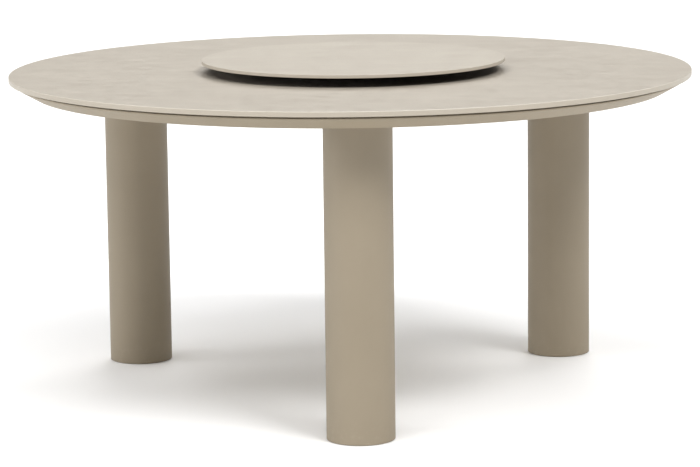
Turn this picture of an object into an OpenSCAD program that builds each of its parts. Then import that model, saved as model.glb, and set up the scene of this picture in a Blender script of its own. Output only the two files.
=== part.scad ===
// Round dining table on three tubular legs, with a free-standing turntable on its stone top.
// Millimetres, +Z up. The origin is on the floor, on the table's axis. One leg stands towards -Y.

/* [Stone top] */
// Diameter of the stone top
top_d = 1600; // [1400:10:1800]
// Thickness of the stone top
top_t = 12; // [11:0.5:20]
// Height of the top's upper face above the floor
table_h = 750; // [700:5:780]
// Width of the bevel round the top's upper edge
top_arris = 2; // [0.5:0.5:3]
// Width of the bevel round the top's lower edge
under_arris = 1; // [0.5:0.5:2]

/* [Rim] */
// How far the rim's lip stands back from the stone's edge
rim_setback = 15; // [8:1:25]
// Height of the rim
rim_h = 29; // [26:1:34]
// Height of the rebate that holds the rim's outer edge clear of the stone
rim_rebate_h = 3; // [1:0.5:3]
// Width of that rebate
rim_rebate_w = 6; // [2:0.5:7]
// Height of the upright lip at the top of the rim, with its rebate
rim_lip_h = 6; // [6:0.5:9]
// Distance that the bevelled face runs in from the lip
rim_bevel_w = 41; // [36:1:54]
// Width of the flat under the rim
rim_sole_w = 6; // [4:0.5:12]
// Radius that blends the lip into the bevelled face
rim_blend_r = 4.5; // [1:0.5:4.5]
// Radius of the corner between the bevelled face and the flat
rim_corner_r = 1; // [0.25:0.25:1]

/* [Inner frame] */
// Width of an arm's tube
arm_w = 50; // [40:1:55]
// Height of an arm's tube
arm_h = 25; // [20:1:28]
// Wall of an arm's tube
arm_wall = 2; // [1.5:0.25:3]
// Radius of an arm's outer corners
arm_corner_r = 4; // [3.5:0.5:6]
// Outer diameter of the hub tube
hub_d = 120; // [115:1:160]
// Wall of the hub tube
hub_wall = 4; // [2:0.5:6]
// Diameter of the plate under the hub
hub_plate_d = 220; // [180:5:300]
// Thickness of the hub plate and of the leg mounting plates
plate_t = 6; // [4:0.5:8]
// Gap that the weld fills between two joined parts
weld_gap = 0.1; // [0.05:0.05:0.2]

/* [Legs] */
// Distance of each leg's axis from the stone's edge
leg_inset = 200; // [170:5:300]
// Outer diameter of a leg
leg_d = 152; // [140:1:170]
// Wall of a leg's tube
leg_wall = 3; // [2:0.5:5]
// Height of the gap between a leg's tube and the floor
leg_reveal = 1; // [0.5:0.5:6]
// Thickness of the cap plate in the top of a leg
cap_t = 8; // [6:0.5:12]
// Thickness of the base plate in the bottom of a leg
base_t = 8; // [6:0.5:12]

/* [Leg bolts] */
// Thread diameter of a leg bolt
bolt_d = 8; // [6:1:8]
// Length of a leg bolt under its head
bolt_l = 16; // [14:1:25]
// Diameter of the circle that a leg's bolts stand on
bolt_pcd = 110; // [104:1:112]
// Width across the flats of a bolt's head
bolt_head_w = 13; // [11:0.5:14]
// Height of a bolt's head
bolt_head_h = 5.3; // [4:0.1:6]
// Diameter of the washer under a bolt's head
washer_d = 16; // [15:0.5:18]
// Thickness of the washer under a bolt's head
washer_t = 1.6; // [1:0.1:2]
// Radial clearance of a bolt in its plain hole
bolt_clear = 0.5; // [0.3:0.1:0.7]
// Radial clearance between a screw and its thread, as drawn
thread_clear = 0.05; // [0.02:0.01:0.08]

/* [Levelling feet] */
// Diameter of a foot's pad
pad_d = 60; // [40:1:90]
// Thickness of a foot's pad
pad_t = 7; // [6:0.5:12]
// Bevel round a foot's pad
pad_bevel = 1; // [0.5:0.25:1.5]
// Thread diameter of a foot's stud
stud_d = 12; // [10:1:16]
// Length of a foot's stud above its pad
stud_l = 38; // [32:1:60]
// Depth that a stud is set into its pad
stud_set = 4; // [2:0.5:5]
// Width across the flats of the nut welded on the base plate
nut_w = 19; // [18:1:30]
// Height of the nut welded on the base plate
nut_h = 10; // [8:1:14]

/* [Top fixings] */
// Thickness of the silicone between the frame and the stone
seat_t = 2; // [1.5:0.5:4]
// Diameter of a silicone pad under the stone
seat_d = 20; // [14:1:30]
// Number of silicone pads along the rim
rim_seats = 12; // [6:6:24]
// Distance of an arm's inner silicone pad from the table's axis
inner_seat_reach = 250; // [150:5:300]
// Distance of an arm's outer silicone pad from the table's axis
outer_seat_reach = 450; // [350:5:500]
// Width of a fixing tab
tab_w = 30; // [24:1:40]
// Thickness of a fixing tab
tab_t = 4; // [3:0.5:6]
// Distance of a fixing screw from the rim's inner wall
tab_reach = 22; // [18:1:40]
// Thread diameter of a fixing screw
screw_d = 6; // [5:0.5:6]
// Diameter of a fixing screw's head
screw_head_d = 12; // [10:0.5:14]
// Height of a fixing screw's head
screw_head_h = 4; // [3:0.5:5]
// How far a fixing screw ends below its insert's top
screw_short = 1; // [0.5:0.5:3]
// Outer diameter of the insert in the stone
insert_d = 10; // [9:0.5:12]
// Length of the insert in the stone
insert_l = 8; // [6:0.5:8.5]
// Radial layer of glue round an insert
insert_glue = 0.15; // [0.1:0.05:0.3]

/* [Turntable] */
// Diameter of the turntable's disc
disc_d = 709; // [500:1:900]
// Thickness of the turntable's disc
disc_t = 8; // [6:0.5:12]
// Width of the bevels round the disc
disc_arris = 1; // [0.5:0.25:1.5]
// Place of the turntable on the table top, sideways
turntable_x = 7; // [-40:1:40]
// Place of the turntable on the table top, front to back
turntable_y = -38; // [-80:1:80]
// Thickness of the bond between the turning race and the disc
bond_t = 2.5; // [1:0.5:3]
// Diameter of a bond pad
bond_d = 14; // [10:1:16]
// Thickness of a rubber foot under the fixed race
bumper_t = 5; // [2:0.5:6]
// Diameter of a rubber foot under the fixed race
bumper_d = 14; // [8:1:15]
// Number of rubber feet, and of bond pads
bumper_count = 8; // [6:1:12]

/* [Ball race] */
// Diameter of the circle through the balls' centres
ball_circle_d = 332; // [280:1:400]
// Diameter of a ball
ball_d = 6; // [5:0.25:7]
// Number of balls
ball_count = 36; // [12:1:40]
// Clearance of a ball in its groove and in its pocket
ball_clear = 0.15; // [0.1:0.01:0.2]
// Height of each race ring
race_h = 13; // [10:0.5:14]
// Height by which the turning race stands above the fixed one
race_step = 1.5; // [1:0.25:2]
// Gap between the two races' facing walls
race_gap = 3; // [2.5:0.25:4]
// Radial width of the fixed race
base_race_w = 16; // [12:1:24]
// Radial width of the turning race
top_race_w = 18; // [12:1:26]
// Bevel along the races' edges
race_bevel = 0.6; // [0.3:0.1:1]
// Wall of the ball cage
cage_wall = 2; // [1.5:0.25:2.25]
// Height of the ball cage
cage_h = 8.5; // [8:0.25:9]

/* [Hidden] */
SIDES = ["front", "rear_right", "rear_left"];
ARMS = ["front", "front_right", "rear_right", "rear", "rear_left", "front_left"];

// Shared angles: arms stand all round from the front one, and a leg is under every second arm
front_angle = -90;
arm_step = 360 / len(ARMS);
leg_step = 360 / len(SIDES);
bolts_per_leg = 4;
bolt_step = 360 / bolts_per_leg;

// Heights, from the stone down to the floor
slab_z = table_h - top_t;
frame_z = slab_z - seat_t;
rim_z = frame_z - rim_h;
arm_z = frame_z - arm_h;
plate_z = arm_z - plate_t;
cap_z = plate_z - cap_t;
base_z = pad_t;
nut_z = base_z + base_t;

// Radii of the frame
lip_r = top_d / 2 - rim_setback;
rebate_r = lip_r - rim_rebate_w;
sole_r = lip_r - rim_bevel_w;
rim_inner_r = sole_r - rim_sole_w;
rim_seat_r = (rim_inner_r + rebate_r) / 2;
leg_reach = top_d / 2 - leg_inset;
hub_r = hub_d / 2;
leg_bore_r = leg_d / 2 - leg_wall;
bolt_r = bolt_d / 2;
stud_r = stud_d / 2 - thread_clear;
screw_r = screw_d / 2;
screw_reach = rim_inner_r - tab_reach;
screw_l = tab_t + seat_t + insert_l - screw_short;
screw_hole_r = screw_r + bolt_clear;

// Heights and radii of the turntable
bumper_z = table_h;
base_race_z = bumper_z + bumper_t;
top_race_z = base_race_z + race_step;
bond_z = top_race_z + race_h;
disc_z = bond_z + bond_t;
ball_z = (top_race_z + base_race_z + race_h) / 2;
ball_circle_r = ball_circle_d / 2;
groove_r = ball_d / 2 + ball_clear;
base_race_r = ball_circle_r - race_gap / 2;
top_race_r = ball_circle_r + race_gap / 2;

// A cut runs this far past the faces that it opens
cut = 1;
// Points along a rounded corner
corner_steps = 6;
// Circles are drawn with these numbers of sides, and stand for true circles
$fn = 48;
wide_fn = 240;

// Unit vector along v
function unit(v) = v / norm(v);

// Points that round the corner b between a and c with radius r
function rounded(a, b, c, r) =
    let (
        to_a = unit(a - b),
        to_c = unit(c - b),
        half = acos(to_a * to_c) / 2,
        centre = b + unit(to_a + to_c) * r / sin(half),
        first = b + to_a * r / tan(half) - centre,
        last = b + to_c * r / tan(half) - centre,
        start = atan2(first[1], first[0]),
        turn = atan2(last[1], last[0]) - start,
        sweep = turn > 180 ? turn - 360 : turn < -180 ? turn + 360 : turn
    )
    [for (i = [0:corner_steps])
        centre + r * [cos(start + sweep * i / corner_steps), sin(start + sweep * i / corner_steps)]];

// Bar along X with rounded long edges, w wide, which stands on z0
module rounded_bar(x0, x1, w, z0, h, r) {
    left = [-w / 2, z0];
    right = [w / 2, z0];
    top_right = [w / 2, z0 + h];
    top_left = [-w / 2, z0 + h];
    translate([x0, 0, 0]) rotate([90, 0, 90]) linear_extrude(x1 - x0)
        polygon(concat(
            rounded(top_left, left, right, r),
            rounded(left, right, top_right, r),
            rounded(right, top_right, top_left, r),
            rounded(top_right, top_left, left, r)
        ));
}

// Race ring with bevelled edges, and the balls' groove cut into the wall that faces them
module grooved_race(inner_r, w, z0) {
    outer_r = inner_r + w;
    z1 = z0 + race_h;
    rotate_extrude($fn = wide_fn) difference() {
        polygon([
            [inner_r + race_bevel, z0], [outer_r - race_bevel, z0], [outer_r, z0 + race_bevel],
            [outer_r, z1 - race_bevel], [outer_r - race_bevel, z1], [inner_r + race_bevel, z1],
            [inner_r, z1 - race_bevel], [inner_r, z0 + race_bevel]
        ]);
        translate([ball_circle_r, ball_z]) circle(r = groove_r);
    }
}

// Disc with bevelled edges
module bevelled_disc(d, z0, t, low, high) {
    rotate_extrude($fn = wide_fn)
        polygon([
            [0, z0], [d / 2 - low, z0], [d / 2, z0 + low],
            [d / 2, z0 + t - high], [d / 2 - high, z0 + t], [0, z0 + t]
        ]);
}

// Flat ring
module ring(outer_r, inner_r, t) {
    difference() {
        cylinder(r = outer_r, h = t);
        translate([0, 0, -cut]) cylinder(r = inner_r, h = t + 2 * cut);
    }
}

// Puts its children at a distance from the axis, in the direction of the angle
module out_at(angle, reach, z) {
    rotate([0, 0, angle]) translate([reach, 0, z]) children();
}

// Puts its children on a leg's axis
module at_leg(i, z) {
    out_at(front_angle + i * leg_step, leg_reach, z) children();
}

// Puts its children at each of a leg's bolts
module at_bolts() {
    for (i = [0:bolts_per_leg - 1])
        rotate([0, 0, (i + 0.5) * bolt_step]) translate([bolt_pcd / 2, 0, 0]) children();
}

// Puts its children at each fixing screw, halfway between two arms
module at_screws(z) {
    for (i = [0:len(ARMS) - 1]) out_at(front_angle + (i + 0.5) * arm_step, screw_reach, z) children();
}

// Puts its children on the turntable's axis
module at_turntable() {
    translate([turntable_x, turntable_y, 0]) children();
}

// Stone top, with blind holes for the inserts
module tabletop_slab() {
    color([0.80, 0.76, 0.70])
    difference() {
        bevelled_disc(top_d, slab_z, top_t, under_arris, top_arris);
        at_screws(slab_z - cut) cylinder(r = insert_d / 2 + insert_glue, h = insert_l + insert_glue + cut);
    }
}

// Silicone pads on the rim and along the arms
module slab_pads() {
    color([0.85, 0.86, 0.84]) {
        for (i = [0:rim_seats - 1])
            out_at(front_angle + (i + 0.5) * 360 / rim_seats, rim_seat_r, frame_z)
                cylinder(d = seat_d, h = seat_t);
        for (i = [0:len(ARMS) - 1], reach = [inner_seat_reach, outer_seat_reach])
            out_at(front_angle + i * arm_step, reach, frame_z) cylinder(d = seat_d, h = seat_t);
    }
}

// Brass inserts glued into the stone
module slab_inserts() {
    color([0.78, 0.63, 0.32])
    at_screws(slab_z) ring(insert_d / 2, screw_r, insert_l);
}

// Screws that hold the stone down on the tabs
module fixing_screws() {
    color([0.62, 0.63, 0.65])
    at_screws(frame_z - tab_t) {
        cylinder(r = screw_r - thread_clear, h = screw_l);
        translate([0, 0, -screw_head_h]) difference() {
            cylinder(d = screw_head_d, h = screw_head_h);
            translate([0, 0, -cut]) cylinder(d = screw_d, h = screw_head_h / 2 + cut, $fn = 6);
        }
    }
}

// Rubber washers between the tabs and the stone
module screw_washers() {
    color([0.12, 0.12, 0.12])
    at_screws(frame_z) ring(seat_d / 2, screw_hole_r, seat_t);
}

// Tabs welded inside the rim, each with a hole for a screw
module fixing_tabs() {
    color([0.52, 0.47, 0.40])
    intersection() {
        at_screws(frame_z - tab_t) difference() {
            union() {
                cylinder(d = tab_w, h = tab_t);
                translate([0, -tab_w / 2, 0]) cube([2 * tab_reach, tab_w, tab_t]);
            }
            translate([0, 0, -cut]) cylinder(r = screw_hole_r, h = tab_t + 2 * cut);
        }
        translate([0, 0, rim_z]) cylinder(r = rim_inner_r - weld_gap, h = rim_h, $fn = wide_fn);
    }
}

// Rim: rebate under the stone, upright lip, blend, bevelled face, narrow sole and upright inner wall
module rim_ring() {
    rebate_top = [rebate_r, frame_z];
    rebate_foot = [rebate_r, frame_z - rim_rebate_h];
    lip_top = [lip_r, frame_z - rim_rebate_h];
    lip_foot = [lip_r, frame_z - rim_lip_h];
    sole_out = [sole_r, rim_z];
    sole_in = [rim_inner_r, rim_z];
    wall_top = [rim_inner_r, frame_z];
    color([0.55, 0.50, 0.42])
    rotate_extrude($fn = wide_fn)
        polygon(concat(
            [rebate_top, rebate_foot, lip_top],
            rounded(lip_top, lip_foot, sole_out, rim_blend_r),
            rounded(lip_foot, sole_out, sole_in, rim_corner_r),
            [sole_in, wall_top]
        ));
}

// Arm of rectangular tube, with its ends cut to the hub and to the rim
module arm(i) {
    color([0.52, 0.47, 0.40])
    intersection() {
        rotate([0, 0, front_angle + i * arm_step]) difference() {
            rounded_bar(0, lip_r, arm_w, arm_z, arm_h, arm_corner_r);
            rounded_bar(
                -cut, lip_r + cut, arm_w - 2 * arm_wall,
                arm_z + arm_wall, arm_h - 2 * arm_wall, arm_corner_r - arm_wall
            );
        }
        difference() {
            translate([0, 0, arm_z - cut])
                cylinder(r = rim_inner_r - weld_gap, h = arm_h + 2 * cut, $fn = wide_fn);
            translate([0, 0, arm_z - 2 * cut]) cylinder(r = hub_r + weld_gap, h = arm_h + 4 * cut);
        }
    }
}

// Hub tube that the arms meet
module hub_tube() {
    color([0.52, 0.47, 0.40])
    translate([0, 0, arm_z]) ring(hub_r, hub_r - hub_wall, arm_h);
}

// Plate under the hub and the arms' inner ends
module hub_plate() {
    color([0.52, 0.47, 0.40])
    translate([0, 0, plate_z]) cylinder(d = hub_plate_d, h = plate_t);
}

// Mounting plate under an arm, as wide as the leg that is bolted to it
module mounting_plate(i) {
    color([0.52, 0.47, 0.40])
    at_leg(i, plate_z) difference() {
        cylinder(d = leg_d, h = plate_t);
        at_bolts() translate([0, 0, -cut]) cylinder(r = bolt_r + bolt_clear, h = plate_t + 2 * cut);
    }
}

// Leg tube
module leg(i) {
    color([0.55, 0.50, 0.42])
    at_leg(i, leg_reveal) ring(leg_d / 2, leg_bore_r, plate_z - leg_reveal);
}

// Cap plate in a leg's top, threaded for the bolts
module leg_cap(i) {
    color([0.55, 0.50, 0.42])
    at_leg(i, cap_z) difference() {
        cylinder(r = leg_bore_r - weld_gap, h = cap_t);
        at_bolts() translate([0, 0, -cut]) cylinder(r = bolt_r, h = cap_t + 2 * cut);
    }
}

// Base plate in a leg's bottom, threaded for the foot
module leg_base(i) {
    color([0.55, 0.50, 0.42])
    at_leg(i, base_z) ring(leg_bore_r - weld_gap, stud_d / 2, base_t);
}

// Hexagon bolts that hold the legs
module leg_bolts() {
    color([0.62, 0.63, 0.65])
    for (i = [0:len(SIDES) - 1]) at_leg(i, plate_z + plate_t + washer_t) at_bolts() {
        cylinder(d = bolt_head_w / cos(30), h = bolt_head_h, $fn = 6);
        translate([0, 0, -bolt_l]) cylinder(r = bolt_r - thread_clear, h = bolt_l);
    }
}

// Washers under the bolts' heads
module bolt_washers() {
    color([0.70, 0.71, 0.72])
    for (i = [0:len(SIDES) - 1])
        at_leg(i, plate_z + plate_t) at_bolts() ring(washer_d / 2, bolt_r + bolt_clear, washer_t);
}

// Nuts welded on the base plates
module foot_nuts() {
    color([0.62, 0.63, 0.65])
    for (i = [0:len(SIDES) - 1]) at_leg(i, nut_z) difference() {
        cylinder(d = nut_w / cos(30), h = nut_h, $fn = 6);
        translate([0, 0, -cut]) cylinder(d = stud_d, h = nut_h + 2 * cut);
    }
}

// Threaded stud of a levelling foot
module foot_stud(i) {
    color([0.66, 0.67, 0.69])
    at_leg(i, pad_t - stud_set) cylinder(r = stud_r, h = stud_set + stud_l);
}

// Moulded pad of a levelling foot
module foot_pad(i) {
    color([0.10, 0.10, 0.10])
    at_leg(i, 0) difference() {
        bevelled_disc(pad_d, 0, pad_t, pad_bevel, pad_bevel);
        translate([0, 0, pad_t - stud_set]) cylinder(r = stud_r + thread_clear, h = stud_set + cut);
    }
}

// Disc of the turntable
module turntable_disc() {
    color([0.82, 0.79, 0.73])
    at_turntable() bevelled_disc(disc_d, disc_z, disc_t, disc_arris, disc_arris);
}

// Bond pads between the turning race and the disc
module bond_pads() {
    color([0.85, 0.86, 0.84])
    at_turntable() for (i = [0:bumper_count - 1])
        out_at(i * 360 / bumper_count, top_race_r + top_race_w / 2, bond_z)
            cylinder(d = bond_d, h = bond_t);
}

// Turning race: a ring round the balls, grooved on its inner wall
module turning_race() {
    color([0.75, 0.76, 0.77])
    at_turntable() grooved_race(top_race_r, top_race_w, top_race_z);
}

// Balls in the groove between the two races
module race_balls() {
    color([0.80, 0.81, 0.83])
    at_turntable() for (i = [0:ball_count - 1])
        out_at(i * 360 / ball_count, ball_circle_r, ball_z) sphere(d = ball_d);
}

// Ball cage: a thin strip bent to a ring, with a pocket for each ball
module ball_cage() {
    color([0.20, 0.21, 0.22])
    at_turntable() difference() {
        rotate_extrude($fn = wide_fn)
            translate([ball_circle_r - cage_wall / 2, ball_z - cage_h / 2]) square([cage_wall, cage_h]);
        for (i = [0:ball_count - 1])
            out_at(i * 360 / ball_count, ball_circle_r - cage_wall, ball_z)
                rotate([0, 90, 0]) cylinder(r = groove_r, h = 2 * cage_wall);
    }
}

// Fixed race: a ring inside the balls, grooved on its outer wall
module fixed_race() {
    color([0.75, 0.76, 0.77])
    at_turntable() grooved_race(base_race_r - base_race_w, base_race_w, base_race_z);
}

// Rubber feet of the turntable, standing on the stone top
module rubber_feet() {
    color([0.12, 0.12, 0.12])
    at_turntable() for (i = [0:bumper_count - 1])
        out_at(i * 360 / bumper_count, base_race_r - base_race_w / 2, bumper_z)
            cylinder(d = bumper_d, h = bumper_t);
}

tabletop_slab();
slab_pads();
slab_inserts();
fixing_screws();
screw_washers();
fixing_tabs();
rim_ring();
hub_tube();
hub_plate();
leg_bolts();
bolt_washers();
foot_nuts();
for (i = [0:len(ARMS) - 1]) arm(i);
for (i = [0:len(SIDES) - 1]) mounting_plate(i);
for (i = [0:len(SIDES) - 1]) leg(i);
for (i = [0:len(SIDES) - 1]) leg_cap(i);
for (i = [0:len(SIDES) - 1]) leg_base(i);
for (i = [0:len(SIDES) - 1]) foot_stud(i);
for (i = [0:len(SIDES) - 1]) foot_pad(i);
turntable_disc();
bond_pads();
turning_race();
race_balls();
ball_cage();
fixed_race();
rubber_feet();
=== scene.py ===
"""Round dining table on three tubular legs, with a free-standing turntable on its stone top.

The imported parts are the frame, and each piece here is a finer surface over one of them or a finish
on it. Sizes in the classes are millimetres, and a mesh leaves in metres, with +Z up and the origin
on the floor on the table's axis. One leg stands towards -Y.
"""

import logging
import math
from collections.abc import Sequence
from dataclasses import dataclass
from enum import Enum, IntEnum

import bmesh
import bpy
import numpy as np
from bpy.types import Material, Node, NodeSocket, Object
from mathutils import Matrix, Vector
from mathutils.geometry import tessellate_polygon


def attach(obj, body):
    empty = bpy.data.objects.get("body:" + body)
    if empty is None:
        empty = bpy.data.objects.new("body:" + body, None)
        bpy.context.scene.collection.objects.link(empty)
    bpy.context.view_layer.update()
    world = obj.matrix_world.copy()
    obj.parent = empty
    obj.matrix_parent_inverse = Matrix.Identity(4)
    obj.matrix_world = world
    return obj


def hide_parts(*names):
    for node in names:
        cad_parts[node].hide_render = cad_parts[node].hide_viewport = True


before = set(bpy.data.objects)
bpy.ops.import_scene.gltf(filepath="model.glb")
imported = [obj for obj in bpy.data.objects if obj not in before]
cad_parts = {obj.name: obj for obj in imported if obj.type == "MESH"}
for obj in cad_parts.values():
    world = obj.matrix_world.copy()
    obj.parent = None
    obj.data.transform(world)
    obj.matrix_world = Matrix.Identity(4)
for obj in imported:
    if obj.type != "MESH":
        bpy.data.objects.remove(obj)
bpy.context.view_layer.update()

log = logging.getLogger("dining_table")

MM = 0.001
FULL_TURN = 2.0 * math.pi
SHARP_ANGLE = math.radians(33.0)
# Points closer than this, in metres, become one
MERGE_DISTANCE = 1e-6
# Distance from a rounding to the point that keeps the flat beside it flat
HOLD = 0.15
ARC_SPANS = 6
EDGE_SPANS = 4
BULGE_ROWS = 9
ARM_STEP = 60.0
# Share of a weld bead's radius that its ripples take, and their pitch
RIPPLE = 0.14
RIPPLE_PITCH = 3.2
# A wave texture of scale 1 repeats every 0.314 m
WAVE = math.pi / 10.0
# A noise texture stays mostly between these two values
NOISE_REACH = (0.3, 0.7)


class Steps(IntEnum):
    """Steps round an axis, by what is turned there."""

    BEAD = 10
    HOLE = 24
    DOT = 32
    STUD = 40
    BOLT = 48
    HUB = 96
    PLATE = 144
    PAD = 192
    RACE = 240
    LEG = 256
    TOP = 360


class Side(Enum):
    """The legs, each with its angle round the table's axis in degrees."""

    FRONT = -90.0
    REAR_RIGHT = 30.0
    REAR_LEFT = 150.0


class Arm(Enum):
    """The arms of the inner frame, each with its angle round the table's axis in degrees."""

    FRONT = -90.0
    FRONT_RIGHT = -30.0
    REAR_RIGHT = 30.0
    REAR = 90.0
    REAR_LEFT = 150.0
    FRONT_LEFT = 210.0


# ---------------------------------------------------------------- surfaces


def unit(vectors: np.ndarray) -> np.ndarray:
    """Returns each vector along the last axis with length 1, and leaves a vector of length 0 as it is."""
    length = np.linalg.norm(vectors, axis=-1, keepdims=True)
    return vectors / np.where(length > 0.0, length, 1.0)


def turn(sides: int) -> np.ndarray:
    """Returns the angles of equal steps round a full turn."""
    return np.arange(sides) * FULL_TURN / sides


def circle(
    radius: float | np.ndarray, sides: int = Steps.BOLT, centre: Sequence[float] = (0.0, 0.0)
) -> np.ndarray:
    """Returns points round a centre: centre + radius * (cos a, sin a), with a in equal steps."""
    angle = turn(sides)
    return np.stack([centre[0] + radius * np.cos(angle), centre[1] + radius * np.sin(angle)], axis=-1)


def hexagon(flats: float) -> np.ndarray:
    """Returns points round a hexagon, at half its width over the cosine of the angle off a flat."""
    off_flat = turn(Steps.BOLT) % math.radians(60.0) - math.radians(30.0)
    return circle(flats / 2.0 / np.cos(off_flat))


def filleted(
    corners: Sequence[Sequence[float]], radii: Sequence[float], steps: int = ARC_SPANS, closed: bool = False
) -> np.ndarray:
    """Rounds the corners of a path.

    An arc starts and stops r / tan(h) from its corner, where h is half the corner's angle, and its
    centre lies r / sin(h) along the bisector. The points between swing evenly from start to stop.
    One more point is held just outside each end of the arc, so that the flats beside it shade flat.

    Args:
        corners: Corners in order, as (x, y) pairs.
        radii: Radius at each corner; the two ends of an open path ignore theirs.
        steps: Number of spans along an arc.
        closed: Whether the last corner joins the first.

    Returns:
        Points of the rounded path, shape (n, 2). A closed path repeats its first point at the end.
    """
    path = np.asarray(corners, float)
    radius = np.asarray(radii, float)[:, None]
    to_last = unit(np.roll(path, 1, axis=0) - path)
    to_next = unit(np.roll(path, -1, axis=0) - path)
    half = np.arccos(np.clip((to_last * to_next).sum(axis=1, keepdims=True), -1.0, 1.0)) / 2.0
    reach = radius / np.tan(half)
    middle = path + unit(to_last + to_next) * radius / np.sin(half)
    swing = np.pi - 2.0 * half[:, None]
    share = np.linspace(0.0, 1.0, steps + 1)[None, :, None]
    start = (path + to_last * reach - middle)[:, None]
    stop = (path + to_next * reach - middle)[:, None]
    swung = np.sin((1.0 - share) * swing) * start + np.sin(share * swing) * stop
    arc = middle[:, None] + swung / np.sin(swing)
    first = (path + to_last * (reach + HOLD))[:, None]
    last = (path + to_next * (reach + HOLD))[:, None]
    rounded = np.concatenate([first, arc, last], axis=1)
    if closed:
        loop = rounded.reshape(-1, 2)
        return np.concatenate([loop, loop[:1]])
    return np.concatenate([path[:1], rounded[1:-1].reshape(-1, 2), path[-1:]])


def inset(outline: np.ndarray, distance: np.ndarray) -> np.ndarray:
    """Moves a loop inwards by each of several distances.

    A point moves along the sum of its two edges' normals, by the distance over the cosine of half
    the turn between them, which keeps every edge parallel to where it was.

    Args:
        outline: Loop of points that turns anticlockwise, shape (n, 2).
        distance: Distances inwards, shape (m,).

    Returns:
        Loops of shape (m, n, 2).
    """
    ahead = unit(np.roll(outline, -1, axis=0) - outline)
    normal = np.stack([-ahead[:, 1], ahead[:, 0]], axis=-1)
    both = unit(normal + np.roll(normal, 1, axis=0))
    slant = (both * normal).sum(axis=-1, keepdims=True)
    return outline[None] + both[None] / slant[None] * distance[:, None, None]


def on_wall(points: np.ndarray, radius: float) -> np.ndarray:
    """Returns points (y, z) laid on an upright wall round the axis, at x = sqrt(radius^2 - y^2)."""
    return np.column_stack([np.sqrt(radius**2 - points[:, 0] ** 2), points])


def at(loop: np.ndarray, height: float | np.ndarray) -> np.ndarray:
    """Returns a loop of points (x, y) set at one height, or at a height for each point."""
    return np.column_stack([loop, np.broadcast_to(height, len(loop))])


def stacked(*rows: tuple[np.ndarray, float | np.ndarray]) -> "Surface":
    """Joins loops, each given with its height or heights, into one shell. A loop may be a point."""
    return Surface().grid(np.stack([at(loop, height) for loop, height in rows]))


def placing(
    angle: float, reach: float = 0.0, height: float = 0.0, centre: Sequence[float] = (0.0, 0.0)
) -> np.ndarray:
    """Placing of a part at a distance from an axis.

    Args:
        angle: Direction from the axis, in degrees.
        reach: Distance from the axis.
        height: Height of the part's own origin.
        centre: Place of the axis.

    Returns:
        Matrix of shape (4, 4): a turn by the angle, after a shift outwards by the reach.
    """
    out = np.array([math.cos(math.radians(angle)), math.sin(math.radians(angle))])
    matrix = np.eye(4)
    matrix[:2, 0] = out
    matrix[:2, 1] = [-out[1], out[0]]
    matrix[:3, 3] = [centre[0] + reach * out[0], centre[1] + reach * out[1], height]
    return matrix


def between_arms(reach: float = 0.0, height: float = 0.0) -> list[np.ndarray]:
    """Returns the placings half way between the arms."""
    return [placing(arm.value + ARM_STEP / 2.0, reach, height) for arm in Arm]


class Surface:
    """Closed shell under construction. Its patches share borders, which are merged at the end."""

    def __init__(self) -> None:
        """Starts with no patch."""
        self.points = np.zeros((0, 3))
        self.faces: list[np.ndarray] = []

    def add(self, points: np.ndarray, *faces: np.ndarray) -> "Surface":
        """Adds points, and faces that number them from 0, and returns the surface."""
        self.faces += [group + len(self.points) for group in faces]
        self.points = np.concatenate([self.points, points])
        return self

    def grid(self, points: np.ndarray) -> "Surface":
        """Adds a sheet over a grid of points, whose last column joins the first.

        The face at row i and column j joins the points (i, j), (i, j+1), (i+1, j+1) and (i+1, j).

        Args:
            points: Points of shape (rows, columns, 3). A row may shrink to one point, as at a pole.

        Returns:
            The surface.
        """
        rows, columns = points.shape[:2]
        row = np.arange(rows - 1)[:, None] * columns
        column = np.arange(columns)[None, :]
        after = (column + 1) % columns
        quads = np.stack([row + column, row + after, row + columns + after, row + columns + column], axis=-1)
        return self.add(points.reshape(-1, 3), quads.reshape(-1, 4))

    def flat(self, height: float, *loops: np.ndarray) -> "Surface":
        """Adds a level face inside the first loop and outside the others.

        Args:
            height: Height of the face.
            loops: Loops of points, each of shape (n, 2).

        Returns:
            The surface.
        """
        rings = [at(loop, height) for loop in loops]
        triangles = tessellate_polygon([[Vector(point) for point in loop] for loop in rings])
        return self.add(np.concatenate(rings), np.array(triangles))

    def copies(self, placings: Sequence[np.ndarray]) -> "Surface":
        """Returns a surface that holds one copy of this one at each placing."""
        result = Surface()
        for matrix in placings:
            result.add(self.points @ matrix[:3, :3].T + matrix[:3, 3], *self.faces)
        return result

    def join(self, *others: "Surface") -> "Surface":
        """Adds the patches of other surfaces and returns this one."""
        for other in others:
            self.add(other.points, *other.faces)
        return self

    def piece(self, name: str) -> Object:
        """Merges the patches' borders, turns the faces outwards and makes the object.

        Args:
            name: Name of the piece.

        Returns:
            The object, at the origin, smooth except along its sharp edges.
        """
        mesh = bpy.data.meshes.new(name)
        faces = [face for group in self.faces for face in group.tolist()]
        mesh.from_pydata((self.points * MM).tolist(), [], faces)
        shell = bmesh.new()
        shell.from_mesh(mesh)
        bmesh.ops.remove_doubles(shell, verts=shell.verts, dist=MERGE_DISTANCE)
        bmesh.ops.recalc_face_normals(shell, faces=shell.faces)
        shell.to_mesh(mesh)
        shell.free()
        mesh.polygons.foreach_set("use_smooth", np.ones(len(mesh.polygons), bool))
        mesh.set_sharp_from_angle(angle=SHARP_ANGLE)
        mesh.update()
        obj = bpy.data.objects.new(name, mesh)
        bpy.context.scene.collection.objects.link(obj)
        return obj


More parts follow.
